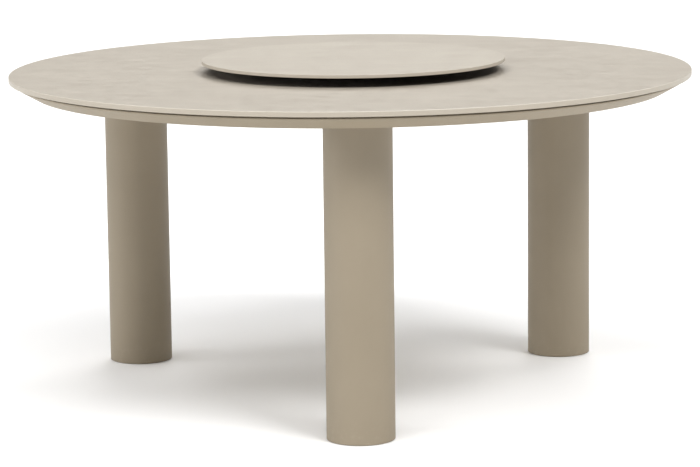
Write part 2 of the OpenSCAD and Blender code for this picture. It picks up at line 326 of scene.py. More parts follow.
def around(radius: np.ndarray, height: np.ndarray, centre: Sequence[float] = (0.0, 0.0)) -> Surface:
    """Shell round an upright axis, whose point at the angle a is (x + r cos a, y + r sin a, z).

    Args:
        radius: Radius at each row and angle, shape (rows, sides).
        height: Height of each row, shape (rows, 1).
        centre: Place (x, y) of the axis.

    Returns:
        The surface.
    """
    level = circle(radius, radius.shape[1], centre)
    upright = np.broadcast_to(height[..., None], (*radius.shape, 1))
    return Surface().grid(np.concatenate([level, upright], axis=-1))


def turned(profile: np.ndarray, sides: int, centre: Sequence[float] = (0.0, 0.0)) -> Surface:
    """Turns a profile of (radius, height) pairs, which ends on the axis or where it starts."""
    radius, height = profile[:, :1], profile[:, 1:]
    return around(np.broadcast_to(radius, (len(profile), sides)), height, centre)


def plate(
    outline: np.ndarray, low: float, high: float, edge: float, holes: Sequence[np.ndarray] = ()
) -> Surface:
    """Level plate with softened edges.

    The wall is a stack of insets of the outline. Along each edge the inset is e(1 - sin a) and the
    height from the face is e(1 - cos a), for a from 0 to a quarter turn.

    Args:
        outline: Anticlockwise loop of points, shape (n, 2).
        low: Height of the lower face.
        high: Height of the upper face.
        edge: Radius e of the softened edges.
        holes: Loops of straight holes through the plate.

    Returns:
        The closed surface.
    """
    slope = np.linspace(0.0, np.pi / 2.0, EDGE_SPANS + 1)
    back = edge * (1.0 - np.sin(slope))
    lift = edge * (1.0 - np.cos(slope))
    insets = np.concatenate([[edge + HOLD], back, back[::-1], [edge + HOLD]])
    heights = np.concatenate([[low], low + lift, (high - lift)[::-1], [high]])
    loops = inset(outline, insets)
    surface = stacked(*zip(loops, heights))
    for hole in holes:
        surface.join(stacked((hole, low), (hole, high)))
    return surface.flat(low, loops[0], *holes).flat(high, loops[-1], *holes)


def ring(
    inner: float,
    outer: float,
    low: float,
    high: float,
    edges: Sequence[float],
    sides: int,
    spans: int = ARC_SPANS,
) -> Surface:
    """Returns a ring whose section has rounded corners, from the lower inner one outwards and round."""
    corners = [(inner, low), (outer, low), (outer, high), (inner, high)]
    return turned(filleted(corners, edges, spans, closed=True), sides)


def slab_edge(radius: float, low: float, high: float, rounds: Sequence[float]) -> np.ndarray:
    """Returns the rounded edge of a round slab, as (radius, height) from its lower face to its upper."""
    corners = [(0.0, low), (radius, low), (radius, high), (0.0, high)]
    return filleted(corners, [0.0, *rounds, 0.0])[1:-1]


def bead(path: np.ndarray, radius: float, up: Sequence[float] = (0.0, 0.0, 1.0)) -> Surface:
    """Weld bead along an open path.

    A circle is carried along the path. Its radius swells once for each ripple, as the square root
    of a sine's size, and runs to nothing at both ends as the root of 1 - u^12, with u from -1 to 1.

    Args:
        path: Points of the bead's middle line, shape (n, 3).
        radius: Radius of the bead.
        up: Any direction that the path never takes.

    Returns:
        The closed surface.
    """
    ahead = unit(np.gradient(path, axis=0))
    across = unit(np.cross(ahead, np.asarray(up, float)))
    over = np.cross(across, ahead)
    step = np.linalg.norm(np.diff(path, axis=0), axis=1)
    along = np.concatenate([[0.0], np.cumsum(step)])
    u = 2.0 * along / along[-1] - 1.0
    swell = 1.0 - RIPPLE + RIPPLE * np.sqrt(np.abs(np.sin(np.pi * along / RIPPLE_PITCH)))
    size = (radius * swell * np.sqrt(np.clip(1.0 - u**12, 0.0, 1.0)))[:, None, None]
    angle = turn(Steps.BEAD)[None, :, None]
    rim = np.cos(angle) * across[:, None] + np.sin(angle) * over[:, None]
    return Surface().grid(path[:, None] + size * rim)


def hand_over(surface: Surface, name: str, body: str, finish: "Finish", *replaced: str) -> None:
    """Makes a piece of a surface, dresses it and hands it to the frame.

    Args:
        surface: The closed surface.
        name: Name of the piece.
        body: Body that it moves with.
        finish: Its finish.
        replaced: CAD nodes that it stands for.
    """
    piece = surface.piece(name)
    piece.data.materials.append(finish.material())
    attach(piece, body)
    if replaced:
        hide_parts(*replaced)
    log.info("%s: %d faces, on body %s", name, len(piece.data.polygons), body)


def dress_node(name: str, finish: "Finish") -> None:
    """Gives a carried-over CAD node its finish, and leaves its shape alone."""
    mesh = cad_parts[name].data
    mesh.materials.clear()
    mesh.materials.append(finish.material())
    log.info("%s: packed part, dressed with %s", name, finish.name)


# ---------------------------------------------------------------- finishes


def linear(colour: str) -> tuple[float, float, float, float]:
    """Turns an sRGB hex colour such as "#c8beb2" into linear red, green, blue and alpha 1."""
    share = np.array([int(colour[i : i + 2], 16) for i in (1, 3, 5)]) / 255.0
    value = np.where(share <= 0.04045, share / 12.92, ((share + 0.055) / 1.055) ** 2.4)
    return (*value.tolist(), 1.0)


def scale(size: float) -> float:
    """Returns the scale of a noise whose features are this many millimetres across."""
    return 1.0 / (size * MM)


class Nodes:
    """Node tree of a material, with its shader and the Object coordinates that its patterns read."""

    def __init__(self, material: Material) -> None:
        """Empties the material's tree, and puts in the shader and the output."""
        material.use_nodes = True
        self.tree = material.node_tree
        self.tree.nodes.clear()
        self.shader = self.add("BsdfPrincipled")
        self.add("OutputMaterial", {"Surface": self.shader})
        self.place = self.add("TexCoord").outputs["Object"]

    def feed(self, node: Node, inputs: dict[str | int, object]) -> None:
        """Fills a node's inputs.

        Args:
            node: The node.
            inputs: For each input, by name or number, a value, an output or a node for its first output.
        """
        for key, value in inputs.items():
            source = value.outputs[0] if isinstance(value, Node) else value
            if isinstance(source, NodeSocket):
                self.tree.links.new(source, node.inputs[key])
            else:
                node.inputs[key].default_value = source

    def add(
        self,
        kind: str,
        inputs: dict[str | int, object] | None = None,
        stops: Sequence[tuple[float, str]] = (),
        **settings: object,
    ) -> Node:
        """Adds a node with its settings and links.

        Args:
            kind: Type of the node, without the word that all shader nodes start with.
            inputs: What its inputs get, for feed. Inputs that share a name go by number.
            stops: Place and hex colour of each stop, for a colour ramp.
            settings: The node's own properties.

        Returns:
            The node.
        """
        node = self.tree.nodes.new("ShaderNode" + kind)
        for name, value in settings.items():
            setattr(node, name, value)
        for i, (place, colour) in enumerate(stops):
            stop = node.color_ramp.elements[i] if i < 2 else node.color_ramp.elements.new(place)
            stop.position = place
            stop.color = linear(colour)
        self.feed(node, inputs or {})
        return node


@dataclass(frozen=True)
class Finish:
    """What every finish has: its material's name, its slot in the record and a roughness range."""

    name: str
    slot: str
    smooth: float
    rough: float

    def material(self) -> Material:
        """Returns the finish's material, and builds it at the first call."""
        found = bpy.data.materials.get(self.name)
        if found:
            return found
        made = bpy.data.materials.new(self.name)
        self.dress(Nodes(made))
        return made

    def dress(self, nodes: Nodes) -> None:
        """Links the finish's pattern to its shader. Each finish has its own."""
        raise NotImplementedError

    def skin(
        self, nodes: Nodes, colour: Node | NodeSocket, sheen: Node, height: Node, depth: float
    ) -> None:
        """Gives the shader what all finishes have.

        Args:
            nodes: The material's nodes.
            colour: Base colour.
            sheen: Noise that carries the roughness from its smooth to its rough end.
            height: Pattern that raises the surface.
            depth: Full height of that pattern, in millimetres.
        """
        low, high = NOISE_REACH
        roughness = nodes.add("MapRange", {0: sheen, 1: low, 2: high, 3: self.smooth, 4: self.rough})
        bump = nodes.add("Bump", {"Strength": 1.0, "Distance": depth * MM, "Height": height})
        nodes.feed(nodes.shader, {"Base Color": colour, "Roughness": roughness, "Normal": bump})


@dataclass(frozen=True)
class SinteredStone(Finish):
    """Sintered stone: pressed and fired mineral slab, printed as vein-cut travertine, satin ground.

    It gives the eye short faint streaks that run one way, fine dark pores along them, a soft sheen
    at low angles, a plain sawn edge, an arris painted paler as a highlight, and a fibre net under its
    back, whose dark colours on the disc are painted shade. Bands, streaks, flecks and hollows have a
    length and a width, in millimetres.
    """

    pale: str = "#b7aea1"
    body: str = "#afa79a"
    dusk: str = "#a69c8f"
    pore: str = "#918473"
    edge: str = "#b2a99a"
    # Painted highlight: the arris is paler than the edge where the face turns up
    arris: str = "#c0b9ac"
    # Colours of the fibre net; the disc's dark pair is painted shade in the gap under it
    back: str = "#988f81"
    thread: str = "#b2ab9e"
    spread: float = 0.16
    band: tuple[float, float] = (450.0, 70.0)
    streak: tuple[float, float] = (110.0, 26.0)
    fleck: tuple[float, float] = (28.0, 24.0)
    hollow: tuple[float, float] = (6.2, 1.1)
    # Only the deepest parts of the hollows' noise open a pore
    pore_reach: tuple[float, float] = (0.66, 0.74)
    cloud: float = 322.6
    cloud_share: float = 0.35
    fleck_share: float = 0.5
    narrow_share: float = 0.7
    pore_fall: float = 1.6
    grain: float = 1.4
    relief: float = 0.02
    net_pitch: float = 5.0

    @staticmethod
    def streaks(nodes: Nodes, size: tuple[float, float], detail: float) -> Node:
        """Noise drawn out along X into streaks.

        Args:
            nodes: The material's nodes.
            size: Usual length and width of a streak, in millimetres.
            detail: Number of finer octaves.

        Returns:
            The noise, around 0.5.
        """
        along, across = scale(size[0]), scale(size[1])
        drawn = nodes.add("Mapping", {0: nodes.place, 3: (along, across, across)})
        noise = {"Vector": drawn, "Scale": 1.0, "Detail": detail, "Roughness": 0.6, "Distortion": 0.2}
        return nodes.add("TexNoise", noise)

    def net(self, nodes: Nodes) -> Node:
        """Colours the net of glass fibre that is glued under the slab. Its dark colours on the disc are
        painted shade.

        Args:
            nodes: The material's nodes.

        Returns:
            The net's colour.
        """
        wave = {"Vector": nodes.place, "Scale": WAVE / (self.net_pitch * MM)}
        ways = [nodes.add("TexWave", wave, bands_direction=way).outputs["Fac"] for way in "XY"]
        threads = nodes.add("Math", dict(enumerate(ways)), operation="MAXIMUM")
        return nodes.add("ValToRGB", {0: threads}, [(0.5, self.back), (0.95, self.thread)])

    def by_facing(self, nodes: Nodes, face: NodeSocket) -> NodeSocket:
        """Keeps the print to the upper face: the edge is plain, the arris paler as a painted highlight and
        the back netted.

        Args:
            nodes: The material's nodes.
            face: Colour of the printed face.

        Returns:
            The colour of all faces, by how far each looks up.
        """
        # From 1 where a face looks up, over 0 on the edge, to -1 on the back
        up = nodes.add("SeparateXYZ", {0: nodes.add("NewGeometry").outputs["Normal"]}).outputs[2]
        # The arris colour, on faces turned partly up, is a painted highlight
        bare = nodes.add("ValToRGB", {0: up}, [(0.1, self.edge), (0.3, self.arris)])
        above = nodes.add("MapRange", {0: up, 1: 0.9, 2: 0.98})
        upper = nodes.add("Mix", {0: above, 6: bare, 7: face}, data_type="RGBA").outputs[2]
        below = nodes.add("MapRange", {0: up, 1: -0.6, 2: -0.9})
        return nodes.add("Mix", {0: below, 6: upper, 7: self.net(nodes)}, data_type="RGBA").outputs[2]

    def dress(self, nodes: Nodes) -> None:
        """Layers bands, clouds, streaks and flecks, opens pores in them, and sorts the faces."""
        cloud = nodes.add("TexNoise", {"Vector": nodes.place, "Scale": scale(self.cloud), "Detail": 3.0})
        broad = nodes.add("Mix", {0: self.cloud_share, 2: self.streaks(nodes, self.band, 2.0), 3: cloud})
        streak, fleck = self.streaks(nodes, self.streak, 3.0), self.streaks(nodes, self.fleck, 2.0)
        narrow = nodes.add("Mix", {0: self.fleck_share, 2: streak, 3: fleck})
        tone = nodes.add("Mix", {0: self.narrow_share, 2: broad, 3: narrow})
        stops = [(0.5 - self.spread, self.dusk), (0.5, self.body), (0.5 + self.spread, self.pale)]
        colour = nodes.add("ValToRGB", {0: tone}, stops)
        shallow, deep = self.pore_reach
        pit = nodes.add("MapRange", {0: self.streaks(nodes, self.hollow, 1.0), 1: shallow, 2: deep})
        pitted = nodes.add("Mix", {0: pit, 6: colour, 7: linear(self.pore)}, data_type="RGBA")
        grain = nodes.add("TexNoise", {"Vector": nodes.place, "Scale": scale(self.grain)})
        height = nodes.add("Math", {0: pit, 1: -self.pore_fall, 2: grain}, operation="MULTIPLY_ADD")
        self.skin(nodes, self.by_facing(nodes, pitted.outputs[2]), narrow, height, self.relief)


@dataclass(frozen=True)
class PowderCoat(Finish):
    """Polyester powder coat on steel: sprayed dry and baked to a matt skin with a fine orange peel.

    It gives the eye a slow drift in tone, a fine grit in the peel, and spots near the floor that
    shoes and brooms have rubbed. Patch, rub, peel and grit are sizes of features in millimetres.
    """

    coat: str = "#978b77"
    thin: str = "#938773"
    worn: str = "#a59884"
    patch: float = 200.0
    rub: float = 14.3
    rub_reach: tuple[float, float] = (0.52, 0.7)
    rub_height: float = 60.0
    rub_share: float = 0.5
    peel: float = 2.5
    grit: float = 0.6
    grit_share: float = 0.35
    relief: float = 0.03

    def dress(self, nodes: Nodes) -> None:
        """Layers the coat's slow drift in tone, its peel, its fine grit and rubbed spots by the floor."""
        drift = {"Vector": nodes.place, "Scale": scale(self.patch), "Detail": 3.0, "Roughness": 0.6}
        ends = list(zip(NOISE_REACH, (self.thin, self.coat)))
        tone = nodes.add("ValToRGB", {0: nodes.add("TexNoise", drift)}, ends)
        height = nodes.add("SeparateXYZ", {0: nodes.place}).outputs[2]
        near = nodes.add("MapRange", {0: height, 1: self.rub_height * MM, 2: 0.0, 4: self.rub_share})
        rub = {"Vector": nodes.place, "Scale": scale(self.rub), "Detail": 4.0, "Roughness": 0.7}
        faint, full = self.rub_reach
        spots = nodes.add("MapRange", {0: nodes.add("TexNoise", rub), 1: faint, 2: full})
        rubbed = nodes.add("Math", {0: near, 1: spots}, operation="MULTIPLY")
        shown = nodes.add("Mix", {0: rubbed, 6: tone, 7: linear(self.worn)}, data_type="RGBA")
        peel, grit = (
            nodes.add("TexNoise", {"Vector": nodes.place, "Scale": scale(size), "Detail": 1.0})
            for size in (self.peel, self.grit)
        )
        relief = nodes.add("Mix", {0: self.grit_share, 2: peel, 3: grit})
        self.skin(nodes, shown.outputs[2], peel, relief, self.relief)


@dataclass(frozen=True)
class Metal(Finish):
    """Bare or plated metal, with a tone that drifts and fine marks that run round an axis or at random."""

    bright: str
    dull: str
    axis: tuple[float, float] | None = None
    patch: float = 16.7
    mark: float = 0.4
    relief: float = 0.006

    def dress(self, nodes: Nodes) -> None:
        """Layers a drift in tone over tool marks, which follow circles where the metal was turned."""
        drift = {"Vector": nodes.place, "Scale": scale(self.patch), "Detail": 4.0, "Roughness": 0.6}
        ends = list(zip(NOISE_REACH, (self.dull, self.bright)))
        tone = nodes.add("ValToRGB", {0: nodes.add("TexNoise", drift)}, ends)
        place = nodes.place
        if self.axis:
            centred = nodes.add("Mapping", {0: place, 1: (-self.axis[0] * MM, -self.axis[1] * MM, 0.0)})
            x, y, z = nodes.add("SeparateXYZ", {0: centred}).outputs
            radius = nodes.add("VectorMath", {0: nodes.add("CombineXYZ", {0: x, 1: y})}, operation="LENGTH")
            place = nodes.add("CombineXYZ", {0: radius.outputs["Value"], 2: z})
        marks = nodes.add("TexNoise", {"Vector": place, "Scale": scale(self.mark)})
        nodes.feed(nodes.shader, {"Metallic": 1.0})
        self.skin(nodes, tone, marks, marks, self.relief)


@dataclass(frozen=True)
class Polymer(Finish):
    """Moulded rubber, nylon or cast silicone: an even colour under a skin with the mould's fine grain."""

    colour: str
    dusty: str
    grain: float
    clear: float = 0.0
    patch: float = 11.1
    dust_reach: tuple[float, float] = (0.4, 0.75)
    relief: float = 0.02

    def dress(self, nodes: Nodes) -> None:
        """Layers a dusting over the colour, and the mould's grain over the skin."""
        dust = {"Vector": nodes.place, "Scale": scale(self.patch), "Detail": 4.0, "Roughness": 0.65}
        ends = list(zip(self.dust_reach, (self.colour, self.dusty)))
        tone = nodes.add("ValToRGB", {0: nodes.add("TexNoise", dust)}, ends)
        grain = nodes.add("TexNoise", {"Vector": nodes.place, "Scale": scale(self.grain), "Detail": 1.0})
        nodes.feed(nodes.shader, {"Transmission Weight": self.clear})
        self.skin(nodes, tone, grain, grain, self.relief)


TOP_STONE = SinteredStone("sintered_travertine", "sintered_stone_top", 0.34, 0.46)
DISC_STONE = SinteredStone(
    "sintered_travertine_plain_shade_painted_back",
    "sintered_stone_disc",
    0.36,
    0.46,
    pale="#bab3a5",
    body="#b5ada0",
    dusk="#afa699",
    edge="#beb6a8",
    arris="#bdb5a7",
    # Dark net colours: painted shade, which deepens the gap under the disc
    back="#3f372e",
    thread="#5a5147",
    spread=0.12,
)
COAT = PowderCoat("polyester_powder_coat", "powder_coat", 0.5, 0.62)
SILICONE = Polymer("cast_silicone", "clear_silicone", 0.2, 0.3, "#dcdedb", "#d2d4d0", 2.0, 0.6)
RUBBER = Polymer("moulded_rubber", "black_rubber", 0.6, 0.75, "#171717", "#232322", 0.7)
NYLON = Polymer("moulded_nylon", "black_nylon", 0.42, 0.55, "#1b1b1c", "#262626", 0.4)
BRASS = Metal("turned_brass", "brass", 0.25, 0.4, "#d8b56b", "#c9a55c")
ZINC = Metal("bright_zinc_plate", "zinc_plated_steel", 0.28, 0.42, "#c7cacf", "#b4b6b6")
ALUMINIUM = Metal(
    "clear_anodised_aluminium", "anodised_aluminium", 0.3, 0.42, "#c9cacb", "#bdbebf", (7.0, -38.0)
)
BEARING = Metal("polished_bearing_steel", "bearing_steel", 0.08, 0.16, "#cfd1d4", "#c3c5c9")


# ---------------------------------------------------------------- the table


@dataclass
class Layout:
    """Sizes and places that more than one sub-assembly goes by. A reach is a distance from an axis."""

    stone_low: float = 738.0
    stone_high: float = 750.0
    fixing_reach: float = 716.0
    rim_inner: float = 738.0
    rim_high: float = 736.0
    tab_low: float = 732.0
    arm_low: float = 711.0
    plate_low: float = 705.0
    leg_reach: float = 600.0
    leg_radius: float = 76.0
    bolts: int = 4
    bolt_start: float = 45.0
    bolt_reach: float = 55.0
    base_high: float = 15.0
    foot_bore: float = 6.0
    plate_edge: float = 0.8
    gap: float = 0.1

    def bolt_spots(self, height: float = 0.0) -> list[np.ndarray]:
        """Returns the placings of a leg's bolts round its axis."""
        angles = [self.bolt_start + i * 360.0 / self.bolts for i in range(self.bolts)]
        return [placing(angle, self.bolt_reach, height) for angle in angles]

    def bolt_holes(self, radius: float) -> list[np.ndarray]:
        """Returns the holes of a leg's bolts."""
        return [circle(radius, Steps.HOLE, spot[:2, 3]) for spot in self.bolt_spots()]


@dataclass
class StoneTop(Layout):
    """Stone top with softly rounded arrises, and blind holes for its inserts."""

    radius: float = 800.0
    upper_round: float = 2.0
    lower_round: float = 1.0
    hole_radius: float = 5.15
    hole_depth: float = 8.15
    # Shares of the radius where the upper face has rings, and how far in the lower one has its own
    rings: tuple[float, ...] = (0.88, 0.5, 0.0)
    margin: float = 3.0

    def build(self) -> None:
        """Turns the rim of the slab, and closes it above by rings and below round the six holes."""
        edge = slab_edge(self.radius, self.stone_low, self.stone_high, (self.lower_round, self.upper_round))
        start = np.array([[self.radius - self.margin, self.stone_low]])
        face = [[self.radius * share, self.stone_high] for share in self.rings]
        slab = turned(np.concatenate([start, edge, face]), Steps.TOP)
        roof = self.stone_low + self.hole_depth
        mouths = []
        for spot in between_arms(self.fixing_reach):
            mouth = circle(self.hole_radius, Steps.DOT, spot[:2, 3])
            end = np.broadcast_to(spot[:2, 3], mouth.shape)
            slab.join(stacked((mouth, self.stone_low), (mouth, roof), (end, roof)))
            mouths.append(mouth)
        slab.flat(self.stone_low, circle(self.radius - self.margin, Steps.TOP), *mouths)
        hand_over(slab, "stone_top", "table", TOP_STONE, "tabletop_slab")


@dataclass
class Rim(Layout):
    """Formed rim under the stone: rebate, lip, blend, bevelled face, narrow sole and inner wall."""

    rebate_radius: float = 779.0
    lip_radius: float = 785.0
    sole_radius: float = 744.0
    lip_high: float = 733.0
    lip_foot: float = 730.0
    low: float = 707.0
    blend: float = 4.0
    corner: float = 1.0
    edge: float = 0.3

    def build(self) -> None:
        """Turns the rim's closed section."""
        corners = {
            (self.rim_inner, self.rim_high): self.edge,
            (self.rebate_radius, self.rim_high): self.edge,
            (self.rebate_radius, self.lip_high): self.edge,
            (self.lip_radius, self.lip_high): self.edge,
            (self.lip_radius, self.lip_foot): self.blend,
            (self.sole_radius, self.low): self.corner,
            (self.rim_inner, self.low): self.edge,
        }
        section = filleted(list(corners), list(corners.values()), closed=True)
        hand_over(turned(section, Steps.TOP), "rim_shell", "table", COAT, "rim_ring")


@dataclass
class InnerFrame(Layout):
    """Welded frame inside the rim: six arms of rectangular tube, hub, hub plate and mounting plates."""

    arm_width: float = 50.0
    wall: float = 2.0
    corner: float = 4.0
    hub_radius: float = 60.0
    hub_wall: float = 4.0
    hub_edge: float = 0.5
    hub_plate_radius: float = 110.0
    bolt_hole: float = 4.5
    end_bead: float = 2.6
    plate_bead: float = 2.4
    tab_bead: float = 2.0
    # Height that the beads at an arm's ends reach, and the points of their path
    bead_high: float = 733.0
    end_points: int = 150
    # Half the length of a bead across an arm, the share of it that a tab's bead has, and their points
    cross_half: float = 23.0
    tab_share: float = 0.56
    cross_points: int = 80

    def tube(self) -> Surface:
        """Arm along +X, with its ends coped to the hub and to the rim.

        Two rounded rectangles, outer and inner, run from the hub's wall to the rim's.

        Returns:
            The closed surface.
        """
        near, far = self.hub_radius + self.gap, self.rim_inner - self.gap
        rows = []
        for shrink, radii in ((0.0, (near, far)), (self.wall, (far, near))):
            y = self.arm_width / 2.0 - shrink
            low, high = self.arm_low + shrink, self.rim_high - shrink
            corners = [(-y, low), (y, low), (y, high), (-y, high)]
            loop = filleted(corners, [self.corner - shrink] * 4, closed=True)[:-1]
            rows += [on_wall(loop, radius) for radius in radii]
        return Surface().grid(np.stack([*rows, rows[0]]))

    def plates(self) -> None:
        """Builds the hub, the plate under it and the three mounting plates."""
        inside = self.hub_radius - self.hub_wall
        hub = ring(inside, self.hub_radius, self.arm_low, self.rim_high, [self.hub_edge] * 4, Steps.HUB)
        hand_over(hub, "hub_sleeve", "table", COAT, "hub_tube")
        heights = (self.plate_low, self.arm_low, self.plate_edge)
        disc = plate(circle(self.hub_plate_radius, Steps.PLATE), *heights)
        hand_over(disc, "hub_disc", "table", COAT, "hub_plate")
        mount = plate(circle(self.leg_radius, Steps.PLATE), *heights, self.bolt_holes(self.bolt_hole))
        for side in Side:
            label = side.name.lower()
            seat = mount.copies([placing(side.value, self.leg_reach)])
            hand_over(seat, f"mount_{label}", "table", COAT, f"mounting_plate_{label}")

    def end_path(self) -> np.ndarray:
        """Returns the path (y, z) down one side of an arm's end, under it and up again, in even steps."""
        half, low, high = self.arm_width / 2.0, self.arm_low, self.bead_high
        corners = [(-half, high), (-half, low), (half, low), (half, high)]
        path = filleted(corners, [0.0, self.corner, self.corner, 0.0])
        steps = np.concatenate([[0.0], np.cumsum(np.linalg.norm(np.diff(path, axis=0), axis=1))])
        even = np.linspace(0.0, steps[-1], self.end_points)
        return np.column_stack([np.interp(even, steps, path[:, i]) for i in range(2)])

    def welds(self) -> None:
        """Lays beads round the arms' ends, across them along the plates, and beside the tabs."""
        arms = Surface()
        for radius in (self.hub_radius, self.rim_inner):
            arms.join(bead(on_wall(self.end_path(), radius), self.end_bead, (1.0, 0.0, 0.0)))
        across = np.linspace(-self.cross_half, self.cross_half, self.cross_points)
        level = np.column_stack([across, np.full_like(across, self.arm_low)])
        arms.join(bead(on_wall(level, self.hub_plate_radius), self.plate_bead))
        seams = arms.copies([placing(arm.value) for arm in Arm])
        beside = np.column_stack([across * self.tab_share, np.full_like(across, self.tab_low)])
        seams.join(bead(on_wall(beside, self.rim_inner), self.tab_bead).copies(between_arms()))
        mounts = Surface()
        for way in (-1.0, 1.0):
            edge = on_wall(level, self.leg_radius) * (way, 1.0, 1.0) + (self.leg_reach, 0.0, 0.0)
            mounts.join(bead(edge, self.plate_bead))
        seams.join(mounts.copies([placing(side.value) for side in Side]))
        hand_over(seams, "frame_welds", "table", COAT)

    def build(self) -> None:
        """Builds the arms, the plates and their welds."""
        for arm in Arm:
            label = arm.name.lower()
            tube = self.tube().copies([placing(arm.value)])
            hand_over(tube, f"arm_tube_{label}", "table", COAT, f"arm_{label}")
        self.plates()
        self.welds()


@dataclass
class Leg(Layout):
    """Tubular leg, closed by a cap plate and a base plate."""

    side: Side = Side.FRONT
    wall: float = 3.0
    low: float = 1.0
    cap_low: float = 697.0
    base_low: float = 7.0
    thread_radius: float = 4.0
    tube_edges: tuple[float, ...] = (0.6, 1.0, 0.6, 0.6)
    bore_edge: float = 0.5

    def build(self) -> None:
        """Turns the tube, with its rims rounded, and its two plates."""
        bore = self.leg_radius - self.wall
        inside = bore - self.gap
        tube = ring(bore, self.leg_radius, self.low, self.plate_low, self.tube_edges, Steps.LEG)
        holes = self.bolt_holes(self.thread_radius)
        cap = plate(circle(inside, Steps.PLATE), self.cap_low, self.plate_low, self.plate_edge, holes)
        edges = [self.bore_edge, self.plate_edge, self.plate_edge, self.bore_edge]
        base = ring(self.foot_bore, inside, self.base_low, self.base_high, edges, Steps.PLATE)
        label = self.side.name.lower()
        spot = [placing(self.side.value, self.leg_reach)]
        hand_over(tube.copies(spot), f"leg_tube_{label}", "table", COAT, f"leg_{label}")
        hand_over(cap.copies(spot), f"cap_{label}", "table", COAT, f"leg_cap_{label}")
        hand_over(base.copies(spot), f"base_{label}", "table", COAT, f"leg_base_{label}")


def hex_face(flats: float, face: float) -> tuple[np.ndarray, np.ndarray]:
    """Outline of a hexagon whose corners fall away by 30 degrees outside a round face.

    Args:
        flats: Width across the flats.
        face: Radius of the round face.

    Returns:
        The hexagon's points, shape (n, 2), and the fall at each.
    """
    outline = hexagon(flats)
    outside = np.clip(np.linalg.norm(outline, axis=1) - face, 0.0, None)
    return outline, outside * math.tan(math.radians(30.0))


def flat_washer(inner: float, outer: float, low: float, high: float, edge: float) -> Surface:
    """Returns a washer between two heights, with its edges rounded."""
    return ring(inner, outer, low, high, [edge] * 4, Steps.BOLT, spans=3)


def soft_dot(radius: float, bulge: float, low: float, high: float) -> Surface:
    """Dot of soft filler, squeezed between two faces.

    Its side bulges as radius + bulge * sin(pi * t), with t the share of the height.

    Args:
        radius: Radius at both faces.
        bulge: How far the side stands out half way up.
        low: Height of the lower face.
        high: Height of the upper face.

    Returns:
        The closed surface.
    """
    t = np.linspace(0.0, 1.0, BULGE_ROWS)
    side = np.column_stack([radius + bulge * np.sin(np.pi * t), low + (high - low) * t])
    return turned(np.concatenate([[[0.0, low]], side, [[0.0, high]]]), Steps.DOT)


@dataclass
class LegBolts(Layout):
    """Four bolts with washers over each leg, and the nut in its base that takes the foot."""

    radius: float = 3.95
    length: float = 16.0
    point: float = 0.8
    head_flats: float = 13.0
    head_face: float = 6.11
    head_height: float = 5.3
    washer_radius: float = 8.0
    washer_bore: float = 4.5
    washer_height: float = 1.6
    washer_edge: float = 0.3
    nut_height: float = 10.0
    nut_flats: float = 19.0
    nut_face: float = 9.3
    mouth: float = 0.5

    def bolt(self) -> Surface:
        """Returns a hexagon bolt with a chamfered point, and the head's underside at height 0."""
        outline, fall = hex_face(self.head_flats, self.head_face)
        return stacked(
            (circle(0.0), self.head_height),
            (circle(self.head_face), self.head_height),
            (outline, self.head_height - fall),
            (outline, 0.0),
            (circle(self.radius), 0.0),
            (circle(self.radius), self.point - self.length),
            (circle(self.radius - self.point), -self.length),
            (circle(0.0), -self.length),
        )

    def nut(self) -> Surface:
        """Returns a hexagon nut with both ends of its bore opened a little."""
        outline, fall = hex_face(self.nut_flats, self.nut_face)
        low, high = self.base_high, self.base_high + self.nut_height
        bore, wide = circle(self.foot_bore), circle(self.foot_bore + self.mouth)
        return stacked(
            (bore, high - self.mouth),
            (wide, high),
            (circle(self.nut_face), high),
            (outline, high - fall),
            (outline, low + fall),
            (circle(self.nut_face), low),
            (wide, low),
            (bore, low + self.mouth),
            (bore, high - self.mouth),
        )

    def build(self) -> None:
        """Builds the bolts, their washers and the nuts."""
        legs = [placing(side.value, self.leg_reach) for side in Side]
        seats = [leg @ spot for leg in legs for spot in self.bolt_spots(self.arm_low)]
        lift = placing(0.0, height=self.washer_height)
        bolts = self.bolt().copies([seat @ lift for seat in seats])
        hand_over(bolts, "hex_bolts", "table", ZINC, "leg_bolts")
        washer = flat_washer(self.washer_bore, self.washer_radius, 0.0, self.washer_height, self.washer_edge)
        hand_over(washer.copies(seats), "hex_bolt_washers", "table", ZINC, "bolt_washers")
        hand_over(self.nut().copies(legs), "hex_nuts", "table", ZINC, "foot_nuts")


